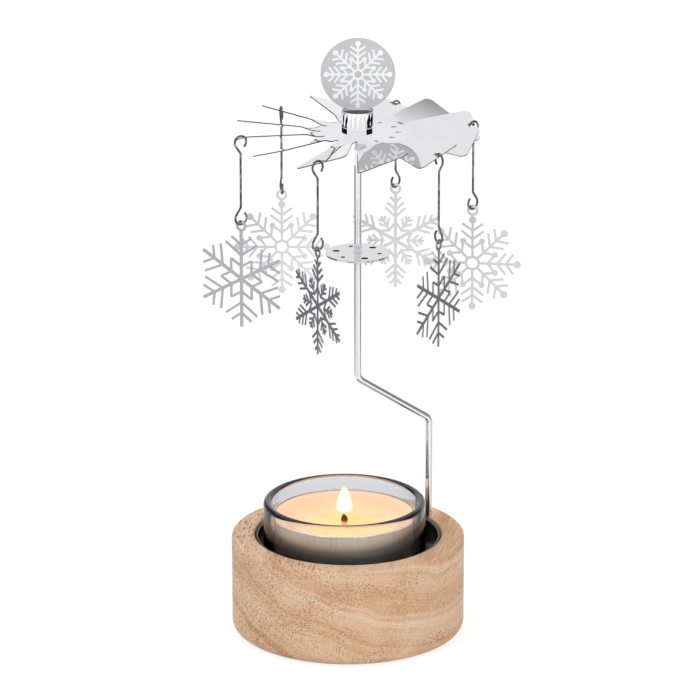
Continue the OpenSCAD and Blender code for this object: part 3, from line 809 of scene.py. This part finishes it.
def rod_path():
    """Points of the rod's centreline, from its foot in the wood to its top, with both bends rounded."""
    x, y, low = ROD_FOOT
    corners = [Vector(p) for p in (
        (x, y, low), (x, y, ROD_LOW_Z), (ROD_X, 0, ROD_HIGH_Z), (ROD_X, 0, ROD_TOP_Z))]
    path = [corners[0]]
    for before, corner, after in zip(corners, corners[1:], corners[2:]):
        back = (before - corner).normalized()
        on = (after - corner).normalized()
        half = back.angle(on) / 2
        middle = corner + (back + on).normalized() * (ROD_BEND_R / math.sin(half))
        start = corner + back * (ROD_BEND_R / math.tan(half))
        arm = start - middle
        axis = back.cross(on).normalized()
        sweep = math.pi - 2 * half
        for i in range(17):
            path.append(middle + Matrix.Rotation(-sweep * i / 16, 3, axis) @ arm)
    path.append(corners[-1])
    return path


def make_rod():
    """Bent rod, ground needle and pierced collector disc."""
    rod = finished("bent_rod_bar", swept(rod_path(), lambda s: ROD_R, sides=64), [chrome])
    carry(rod, "base", "chromed_rod", "bent_rod")

    outline = [(0, ROD_TOP_Z), (NEEDLE_R - NEEDLE_EDGE, ROD_TOP_Z), (NEEDLE_R, ROD_TOP_Z + NEEDLE_EDGE)]
    outline += arc(0, NEEDLE_BALL_Z, NEEDLE_POINT_R, 8, 90, 6)
    needle = finished("ground_needle", turned(outline, ROD_X, steps=64), [needle_steel])
    carry(needle, "base", "needle_steel", "needle")

    holes = [circle(0, 0, ROD_R + COLLECTOR_GAP, 48)]
    for k in range(6):
        place = polar(COLLECTOR_HOLES_R, COLLECTOR_TURN + 60 * k)
        holes.append(circle(*place, COLLECTOR_HOLE_RADII[k % 2], 32))
    disc = plate(circle(0, 0, COLLECTOR_R, 128), holes, COLLECTOR_T, COLLECTOR_EDGE)
    disc.normal_update()
    # The holes' walls take the near-black painted shade
    for face in disc.faces:
        upright_face = abs(face.normal.z) < 0.9
        if upright_face and face.calc_center_median().xy.length < COLLECTOR_R - COLLECTOR_T:
            face.material_index = 1
    moved(disc, Matrix.Translation((ROD_X, 0, COLLECTOR_Z)))
    collector = finished("pierced_collector", disc, [disc_steel, hole_wall_painted_shade])
    carry(collector, "base", "polished_sheet", "collector_disc")


def blade_sheet(holed):
    """A blade with its twisted root, pitched about its middle line, with or without a hook's hole."""
    bm = bmesh.new()
    rows = []
    for i in range(19):
        x = PLATE_R + (BLADE_TWIST_L + ROOT_PAST) * i / 18
        rows.append([bm.verts.new((x, x * BLADE_WIDENING * share, 0)) for share in ROOT_COLUMNS])
    for a, b in zip(rows, rows[1:]):
        for k in range(len(a) - 1):
            bm.faces.new((a[k], b[k], b[k + 1], a[k + 1]))
    corner_x = BLADE_REACH - BLADE_CORNER_R
    corner_y = (corner_x * math.sin(BLADE_HALF_SPAN) - BLADE_CORNER_R) / math.cos(BLADE_HALF_SPAN)
    lean = math.degrees(BLADE_HALF_SPAN)
    right = arc(corner_x, -corner_y, BLADE_CORNER_R, -90 - lean, 0, 10)
    left = [(x, -y) for x, y in reversed(right)]
    tip = [bm.verts.new((x, y, 0)) for x, y in right + left]
    loop = rows[-1][::-1] + tip
    edges = [bm.edges.get(ends) or bm.edges.new(ends) for ends in pairs(loop)]
    if holed:
        ring = [bm.verts.new((x, y, 0)) for x, y in circle(HOOK_HOLE_X, 0, HOOK_HOLE_R, 32)]
        edges += [bm.edges.new(ends) for ends in pairs(ring)]
    bmesh.ops.triangle_fill(bm, use_beauty=True, edges=edges)
    for v in bm.verts:
        share = min(max((v.co.x - PLATE_R) / BLADE_TWIST_L, 0), 1)
        pitch = BLADE_PITCH * (1 - math.cos(math.pi * share)) / 2
        v.co = (v.co.x, v.co.y * math.cos(pitch), v.co.y * math.sin(pitch))
    return bm


def make_rotor():
    """Twelve pitched blades cut from one sheet, with a round relief at the foot of each slit."""
    tree = ring_tree()
    step = 2 * math.pi / BLADES
    parts = []
    for name, holed, turn in (("holed", True, 0), ("plain", False, step)):
        flat = moved(blade_sheet(holed), Matrix.Rotation(BLADE_TURN + turn, 4, "Z"))
        blade = finished(name, flat, [])
        ringed(blade, tree, BLADES // 2, (0, 0, 0), sheet_steel)
        bm = bmesh.new()
        bm.from_mesh(blade.data)
        bmesh.ops.scale(bm, vec=(1 / MM, 1 / MM, 1 / MM), verts=bm.verts)
        parts.append(bm)
        bpy.data.objects.remove(blade)

    # The middle's outline: each blade's root, then the round relief of the slit beside it
    corner_r = PLATE_R / math.cos(BLADE_HALF_SPAN)
    gap = corner_r * math.sin(step / 2 - BLADE_HALF_SPAN)
    relief_x = corner_r * math.cos(step / 2 - BLADE_HALF_SPAN) - math.sqrt(RELIEF_R ** 2 - gap ** 2)
    open_angle = math.degrees(math.asin(gap / RELIEF_R))
    root = [(PLATE_R, PLATE_R * BLADE_WIDENING * share) for share in ROOT_COLUMNS]
    relief = arc(relief_x, 0, RELIEF_R, 360 - open_angle, open_angle, 16)[1:-1]
    outline = []
    for k in range(BLADES):
        way = BLADE_TURN + k * step
        for points, turn in ((root, way), (relief, way + step / 2)):
            outline += [(x * math.cos(turn) - y * math.sin(turn),
                         x * math.sin(turn) + y * math.cos(turn)) for x, y in points]
    parts.append(sheet(outline, [circle(0, 0, PLATE_HOLE_R, 64)]))
    bm = joined(parts)
    bmesh.ops.remove_doubles(bm, verts=bm.verts, dist=1e-3)
    # The copies' faces come back on the second slot, which is the cut edges' here
    for face in bm.faces:
        face.material_index = 0
    thickened(bm, SHEET_T)
    # The sheet's sharp edges, between its faces and its cut rim, are rolled a little, and the rolls take the
    # cut edge's dark finish with its painted shade
    corners = [e for e in bm.edges if e.is_manifold and e.calc_face_angle() > math.radians(60)
               and {f.material_index for f in e.link_faces} == {0, 1}]
    bmesh.ops.bevel(bm, geom=corners, offset=ROLLED_EDGE, segments=2, profile=0.5, affect="EDGES", material=1)
    moved(bm, Matrix.Translation((ROD_X, 0, ROTOR_Z - SHEET_T / 2)))
    rotor = finished("bladed_rotor", bm, [sheet_steel, cut_edge_painted_shade], sharp=20)
    carry(rotor, "rotor", "polished_sheet", "rotor_blades")


def make_hub():
    """Turned hub cap with a bevelled top, a fine groove and the slot that takes the finial."""
    top = ROTOR_Z + HUB_H
    groove = ROTOR_Z + HUB_GROOVE_Z
    outline = [(0, ROTOR_Z - SHEET_T), (PLATE_HOLE_R, ROTOR_Z - SHEET_T), (PLATE_HOLE_R, ROTOR_Z)]
    outline += [(HUB_R - HUB_FOOT_EDGE, ROTOR_Z), (HUB_R, ROTOR_Z + HUB_FOOT_EDGE)]
    outline += arc(HUB_R, groove, HUB_GROOVE_R, 270, 90, 6)
    outline += [*arc(HUB_R - HUB_EDGE_R, top - HUB_EDGE_R, HUB_EDGE_R, 0, 90, 6), (0, top)]
    cap = turned(outline, ROD_X)
    # The top face takes the near-black painted shade
    for face in cap.faces:
        if face.calc_center_median().z > top - 0.01:
            face.material_index = 1
    hub = finished("turned_hub", cap, [hub_chrome, painted_shade_top])
    hub.visible_glossy = False
    bm = bmesh.new()
    size = (2 * (HUB_R + OVER), FINIAL_T + SLOT_GAP, SLOT_DEPTH + OVER)
    bmesh.ops.create_cube(bm, size=1.0, matrix=Matrix.Diagonal((*size, 1)))
    moved(bm, Matrix.Translation((ROD_X, 0, top - SLOT_DEPTH + size[2] / 2)))
    combine(hub, finished("slotting", bm, []), "DIFFERENCE")
    carry(hub, "rotor", "chromed_hub", "hub_cap")


def upright(bm, x, z):
    """Stands a flat shape up, facing the front."""
    return moved(bm, Matrix.Translation((x, 0, z)) @ Matrix.Rotation(math.pi / 2, 4, "X"))


def bar(p, q, width, depth):
    """A bmesh of a straight flat bar from p to q in the XY plane."""
    p, q = Vector(p), Vector(q)
    way = q - p
    bm = bmesh.new()
    bmesh.ops.create_cube(bm, size=1.0, matrix=Matrix.Diagonal((way.length, width, depth, 1)))
    middle = Matrix.Translation(((p.x + q.x) / 2, (p.y + q.y) / 2, 0))
    return moved(bm, middle @ Matrix.Rotation(math.atan2(way.y, way.x), 4, "Z"))


def disc_plate(x, y, r, depth):
    """A bmesh of a small flat disc."""
    return moved(plate(circle(0, 0, r, 24), [], depth, 0.001), Matrix.Translation((x, y, 0)))


def make_finial():
    """Upright disc with a foot in the hub's slot, and its etched snowflake on both faces."""
    middle_z = ROTOR_Z + HUB_H + FINIAL_RISE
    foot = math.degrees(math.asin(FINIAL_TAB_W / 2 / FINIAL_R))
    outline = arc(0, 0, FINIAL_R, -90 + foot, 270 - foot, 160)
    low = -FINIAL_RISE - SLOT_DEPTH
    outline += [(-FINIAL_TAB_W / 2, low), (FINIAL_TAB_W / 2, low)]
    disc = upright(plate(outline, [], FINIAL_T, FINIAL_EDGE), ROD_X, middle_z)
    finial = finished("finial_disc_plate", disc, [satin_steel])
    carry(finial, "rotor", "frosted_finial", "finial_disc")

    depth = FINIAL_T + 2 * ETCH_RISE
    bars = []
    dots = []
    for k in range(FLAKE_ARMS):
        turn = 90 + k * 360 / FLAKE_ARMS
        bars.append(bar(*(polar(r, turn) for r in FLAKE_ARM), FLAKE_ARM_W, depth))
        dots.append(disc_plate(*polar(FLAKE_TIP, turn), FLAKE_TIP_R, depth))
        for root, along, aside in FLAKE_BARBS:
            for side in (-1, 1):
                lean = side * math.degrees(math.atan2(aside, along))
                tip = polar(math.hypot(along, aside), turn + lean)
                bars.append(bar(polar(root, turn), tip, FLAKE_BARB_W, depth))
        half_step = 180 / FLAKE_ARMS
        knot = polar(FLAKE_KNOT, turn + half_step)
        dots.append(disc_plate(*knot, FLAKE_KNOT_R, depth))
        for side in (-1, 1):
            star = polar(FLAKE_STAR, turn + half_step + side * half_step)
            bars.append(bar(star, knot, FLAKE_STAR_W, depth))
    ring = plate(circle(0, 0, FLAKE_RING_R, 48), [circle(0, 0, FLAKE_RING_HOLE_R, 48)], depth, 0.001)
    snow = finished("etched_snowflake", upright(joined(bars), ROD_X, middle_z), [frost])
    rest = finished("dots", upright(joined([*dots, ring]), ROD_X, middle_z), [frost])
    combine(snow, rest, "UNION")
    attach(snow, "rotor")


def make_hooks():
    """Six hooks of bent wire, each a straight shank between two open loops."""
    lean = math.pi / 2 - math.acos(LOOP_R / HOOK_NECK)
    corner = HOOK_L / 2 - HOOK_NECK
    tangent = HOOK_BEND_R * math.tan(lean / 2)
    bend = arc(HOOK_BEND_R, corner - tangent, HOOK_BEND_R, 180, 180 - math.degrees(lean), 6)
    loop = arc(0, HOOK_L / 2, LOOP_R, -math.degrees(lean), 180 + math.degrees(LOOP_END), 48)
    upper = bend + loop
    lower = [(u, -w) for u, w in reversed(upper)]
    for i, (x, y, z, heading) in enumerate(HOOK_PLACES, 1):
        turn = math.radians(heading)
        way = (math.cos(turn), math.sin(turn))
        path = [(x + u * way[0], y + u * way[1], z - HOOK_L / 2 + w) for u, w in lower + upper]
        hook = finished(f"wire_hook_{i}", swept(path, lambda s: WIRE_R, sides=24), [wire])
        carry(hook, f"hanger_{i}", "hook_wire", f"hook_{i}")


def finish_nodes():
    """Gives the CAD nodes that stay their finishes."""
    finishes = {"wick_sustainer": tin, "bearing_cup": brass}
    finishes.update({f"charm_{i}": finish for i, finish in enumerate(charm_lit_and_shaded_finishes, 1)})
    for name, finish in finishes.items():
        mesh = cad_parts[name].data
        mesh.materials.clear()
        mesh.materials.append(finish)


make_base()
make_dish()
make_glass()
make_candle()
make_flame()
make_rod()
make_rotor()
make_hub()
make_finial()
make_hooks()
finish_nodes()


# Studio

# The camera: its lens in millimetres, its place in metres and its tilt in degrees
CAMERA_LENS = 252.55
CAMERA_PLACE = (0.00054, -1.23707, 0.47746)
CAMERA_TILT = 72.1
TABLE_HALF = 3.0
HUB_CARD_R = 3.9
# What the glass passes from behind it: a faint lavender
BEHIND_GLASS = linear("#E2E2E8")


def make_camera():
    """The photograph's view: a long lens that looks down on the candle a little."""
    lens = bpy.data.cameras.new("camera")
    lens.lens = CAMERA_LENS
    lens.sensor_width = 36.0
    lens.clip_end = 10.0
    camera = add_object("camera", lens)
    camera.location = CAMERA_PLACE
    camera.rotation_euler = (math.radians(CAMERA_TILT), 0, 0)
    bpy.context.scene.camera = camera


def seen_rays(tree):
    """Sockets that are 1 for the rays that camera, mirrors and glass send out, and for the glass's alone."""
    ray = node(tree, "ShaderNodeLightPath").outputs
    seen = node(tree, "ShaderNodeMath", {
        0: ray["Is Camera Ray"], 1: ray["Is Glossy Ray"]}, operation="MAXIMUM")
    through = ray["Is Transmission Ray"]
    return node(tree, "ShaderNodeMath", {0: seen, 1: through}, operation="MAXIMUM"), through


def make_world():
    """A surround that is white for camera and mirrors and pale lavender through the glass, and that lights
    the object at about half of that."""
    world = bpy.data.worlds.new("white_surround")
    world.use_nodes = True
    tree = world.node_tree
    tree.nodes.clear()
    seen, through = seen_rays(tree)
    colour = node(tree, "ShaderNodeMix", {
        0: through, 6: WHITE, 7: BEHIND_GLASS}, data_type="RGBA").outputs[2]
    bright = node(tree, "ShaderNodeBackground", {"Color": colour, "Strength": 1.0})
    soft = node(tree, "ShaderNodeBackground", {"Color": WHITE, "Strength": 0.55})
    both = node(tree, "ShaderNodeMixShader", {0: seen, 1: soft, 2: bright})
    node(tree, "ShaderNodeOutputWorld", {"Surface": both})
    bpy.context.scene.world = world


def make_light(name, place, aim, size, power):
    """A white area light at a place, turned to a point, that mirrors don't see."""
    data = bpy.data.lights.new(name, "AREA")
    data.shape = "RECTANGLE"
    data.size, data.size_y = size
    data.energy = power
    light = add_object(name, data)
    light.location = place
    light.rotation_euler = (Vector(aim) - Vector(place)).to_track_quat("-Z", "Y").to_euler()
    light.visible_glossy = False


def stage_card(name, corners, faces, material):
    """A flat or bent card of the stage, from its corners in metres and its faces."""
    mesh = bpy.data.meshes.new(name)
    mesh.from_pydata(corners, [], faces)
    mesh.materials.append(material)
    card = add_object(name, mesh)
    return card


def make_floor():
    """A white table that stays white for the camera and keeps a faint shadow."""
    made, tree = empty_material("white_table")
    seen, through = seen_rays(tree)
    glow = node(tree, "ShaderNodeEmission", {"Color": WHITE, "Strength": 0.8})
    shade = node(tree, "ShaderNodeBsdfDiffuse", {"Color": (0.26, 0.26, 0.26, 1)})
    white = node(tree, "ShaderNodeAddShader", {0: glow, 1: shade})
    plain = node(tree, "ShaderNodeBsdfDiffuse", {"Color": (0.8, 0.8, 0.8, 1)})
    both = node(tree, "ShaderNodeMixShader", {0: seen, 1: plain, 2: white})
    behind = node(tree, "ShaderNodeEmission", {"Color": BEHIND_GLASS})
    last = node(tree, "ShaderNodeMixShader", {0: through, 1: both, 2: behind})
    node(tree, "ShaderNodeOutputMaterial", {"Surface": last})
    # A hair under the base, so that the two faces don't flicker
    low = -0.2 * MM
    corners = [(x * TABLE_HALF, y * TABLE_HALF, low) for x, y in ((-1, -1), (1, -1), (1, 1), (-1, 1))]
    stage_card("table", corners, [(0, 1, 2, 3)], made)


def bowed(radius, start, end, low, high):
    """Corners and faces of a card bent round the candle, between two azimuths in degrees and two heights."""
    steps = 12
    turns = [math.radians(start + (end - start) * i / steps) for i in range(steps + 1)]
    corners = [(radius * math.sin(t), -radius * math.cos(t), z) for z in (low, high) for t in turns]
    return corners, [(i, i + 1, i + 2 + steps, i + 1 + steps) for i in range(steps)]


def mirror_card(name, corners, faces, level, high_level=None, low=0.0, high=1.0):
    """A card that only mirrors see, of one level of grey or fading upwards to another between two heights."""
    made, tree = empty_material(name)
    glow = node(tree, "ShaderNodeEmission", {"Color": WHITE, "Strength": level})
    if high_level is not None:
        where = node(tree, "ShaderNodeTexCoord").outputs["Object"]
        height = node(tree, "ShaderNodeSeparateXYZ", {0: where}).outputs["Z"]
        fade = node(tree, "ShaderNodeMapRange", {
            "Value": height, "From Min": low, "From Max": high,
            "To Min": level, "To Max": high_level})
        feed(glow, {"Strength": fade})
    node(tree, "ShaderNodeOutputMaterial", {"Surface": glow})
    card = stage_card(name, corners, faces, made)
    for ray in ("camera", "diffuse", "transmission", "shadow", "volume_scatter"):
        setattr(card, "visible_" + ray, False)


def make_studio():
    """Soft lights, and the cards that draw grey and black lines along the polished metal."""
    for light in (
            ("overhead", (0, 0, 1.3), (0, 0, 0), (1.6, 1.6), 7.0),
            ("key", (-0.9, -1.0, 0.9), (0, 0, 0.08), (0.7, 0.7), 5.0),
            ("strip", (0.45, -0.75, 0.25), (0, 0, 0.1), (0.35, 0.8), 2.5),
            ("rear", (-0.8, 1.0, 0.7), (0, 0, 0.1), (0.7, 0.7), 3.5)):
        make_light(*light)

    # Grey for the rod and the glass's rim, pale for the rod's front, black for hub and blades
    for name, levels, places in (
            ("grey_card", (0.75, 0.25, 0.03, 0.055),
             ((0.1, 75, 128, 0.0, 0.1), (0.1, -150, -74, 0.0, 0.1))),
            ("pale_card", (0.6,), ((0.1, -28, -10, 0.0, 0.09),)),
            ("black_card", (0.01,),
             ((0.065, 60, 116, 0.135, 0.172), (0.065, -150, -78, 0.135, 0.172)))):
        for i, place in enumerate(places, 1):
            mirror_card(f"{name}_{i}", *bowed(*place), *levels)

    # High behind the rotor, for the grey that fades over its rear blade
    back = [(0.06, 0.235, 0.27), (0.2, 0.235, 0.27), (0.2, 0.235, 0.34), (0.06, 0.235, 0.34)]
    mirror_card("back_card", back, [(0, 1, 2, 3)], 0.4, 1.0, 0.318, 0.333)

    # A pale tube that stands in for the hub, which mirrors don't see, over the bearing in the plate's mirror
    sides = 24
    ring = [polar(HUB_CARD_R, 360 * k / sides) for k in range(sides)]
    tube = [((ROD_X + x) * MM, y * MM, z * MM) for z in (ROTOR_Z - 0.02, ROTOR_Z + 4.5) for x, y in ring]
    faces = [(k, (k + 1) % sides, sides + (k + 1) % sides, sides + k) for k in range(sides)]
    mirror_card("hub_card", tube, faces, 0.95)


make_camera()
make_world()
make_floor()
make_studio()
scene = bpy.context.scene
scene.view_settings.view_transform = "Standard"
